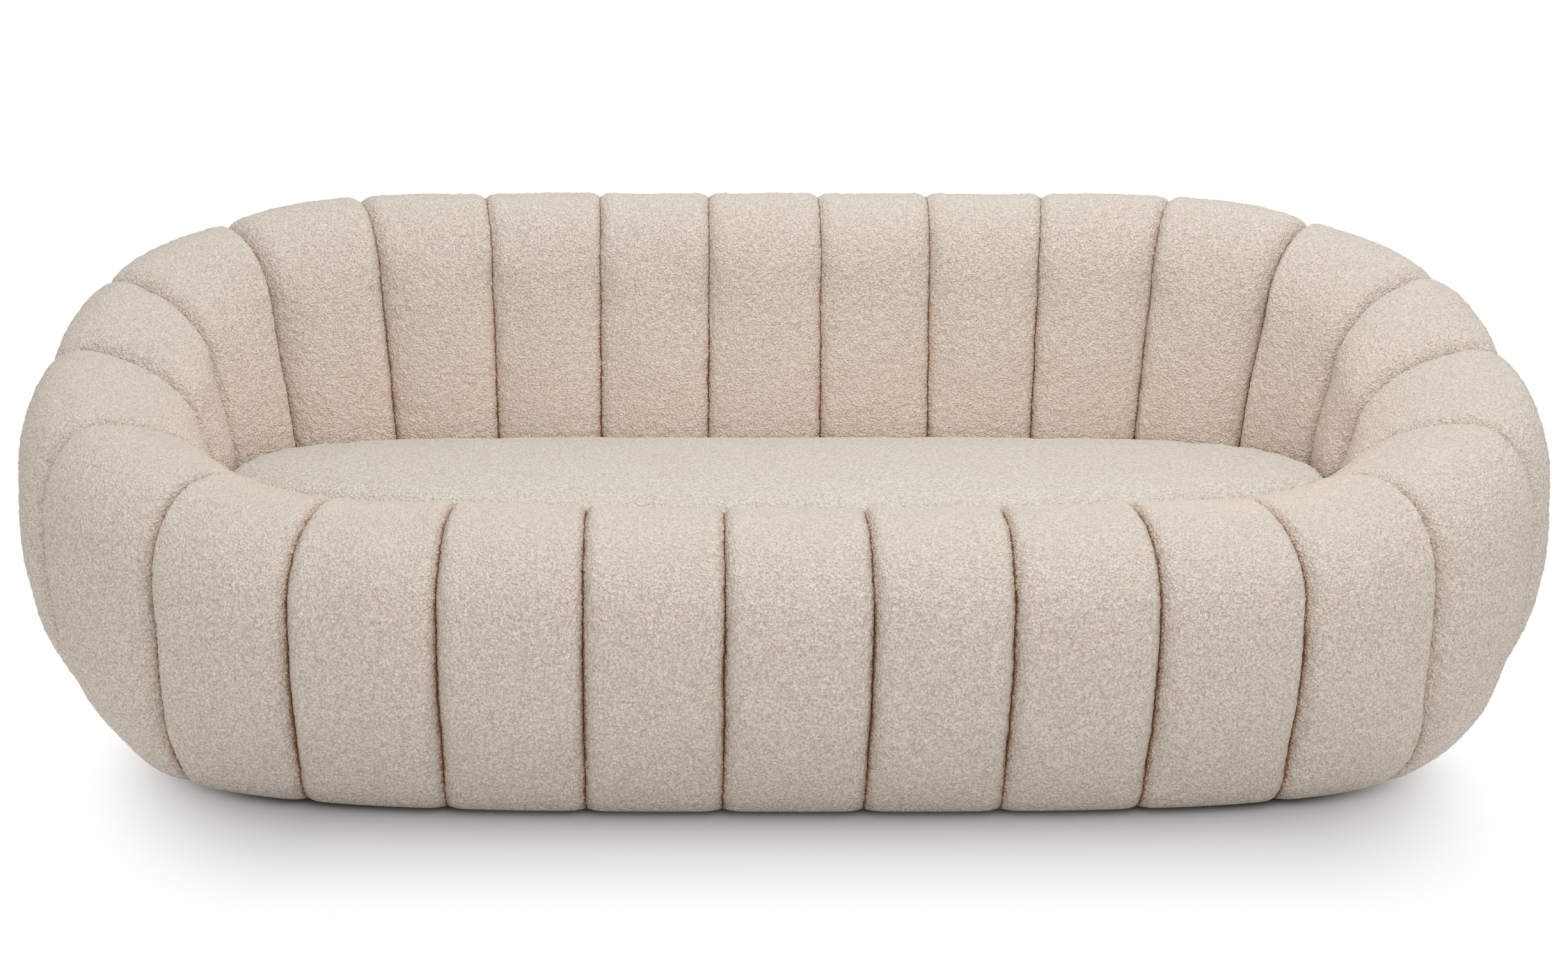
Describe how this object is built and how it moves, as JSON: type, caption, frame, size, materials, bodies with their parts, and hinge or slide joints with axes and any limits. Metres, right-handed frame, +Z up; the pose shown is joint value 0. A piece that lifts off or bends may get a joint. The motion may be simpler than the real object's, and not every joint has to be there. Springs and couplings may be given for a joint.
{
  "type": "curved sofa",
  "caption": "Low oval tub sofa with a ring of upright padded channels, a fitted flat seat and a rim that sweeps down from the back to the front.",
  "frame": {"origin": "on the floor, under the middle of the sofa's overall box", "axes": "+X to the right of the sofa as seen from the front, +Y towards its back, +Z up; the front faces -Y"},
  "size_m": [2.385, 1.08, 0.83],
  "materials": {
    "boucle": "looped wool-like pile, matt",
    "foam": "open-cell foam, matt",
    "plywood": "raw birch plywood",
    "hardboard": "smooth hardboard",
    "webbing": "woven elastic strap",
    "liner": "non-woven dust cloth",
    "glide_plastic": "moulded, satin"
  },
  "bodies": {
    "root": {"channel_front_middle": "boucle", "channel_front_right_01": "boucle", "channel_front_right_02": "boucle", "channel_front_right_03": "boucle", "channel_front_right_04": "boucle", "channel_arm_right_05": "boucle", "channel_arm_right_06": "boucle", "channel_arm_right_07": "boucle", "channel_arm_right_08": "boucle", "channel_back_right_09": "boucle", "channel_back_right_10": "boucle", "channel_back_right_11": "boucle", "channel_back_right_12": "boucle", "channel_back_middle": "boucle", "channel_back_left_12": "boucle", "channel_back_left_11": "boucle", "channel_back_left_10": "boucle", "channel_back_left_09": "boucle", "channel_arm_left_08": "boucle", "channel_arm_left_07": "boucle", "channel_arm_left_06": "boucle", "channel_arm_left_05": "boucle", "channel_front_left_04": "boucle", "channel_front_left_03": "boucle", "channel_front_left_02": "boucle", "channel_front_left_01": "boucle", "base_ring": "plywood", "seat_ring": "plywood", "rim_rail": "plywood", "inner_panel": "hardboard", "outer_panel": "hardboard", "rib_right_01": "plywood", "rib_left_01": "plywood", "rib_right_02": "plywood", "rib_left_02": "plywood", "rib_right_03": "plywood", "rib_left_03": "plywood", "rib_right_04": "plywood", "rib_left_04": "plywood", "rib_right_05": "plywood", "rib_left_05": "plywood", "rib_right_06": "plywood", "rib_left_06": "plywood", "centre_rail": "plywood", "dust_cover": "liner", "glide_right_1": "glide_plastic", "glide_left_1": "glide_plastic", "glide_right_2": "glide_plastic", "glide_left_2": "glide_plastic", "glide_right_3": "glide_plastic", "glide_left_3": "glide_plastic", "cross_web_1": "webbing", "cross_web_2": "webbing", "cross_web_3": "webbing", "cross_web_4": "webbing", "cross_web_5": "webbing", "long_web_front": "webbing", "long_web_back": "webbing", "seat_foam": "foam", "seat_cushion": "boucle"}
  },
  "joints": []
}
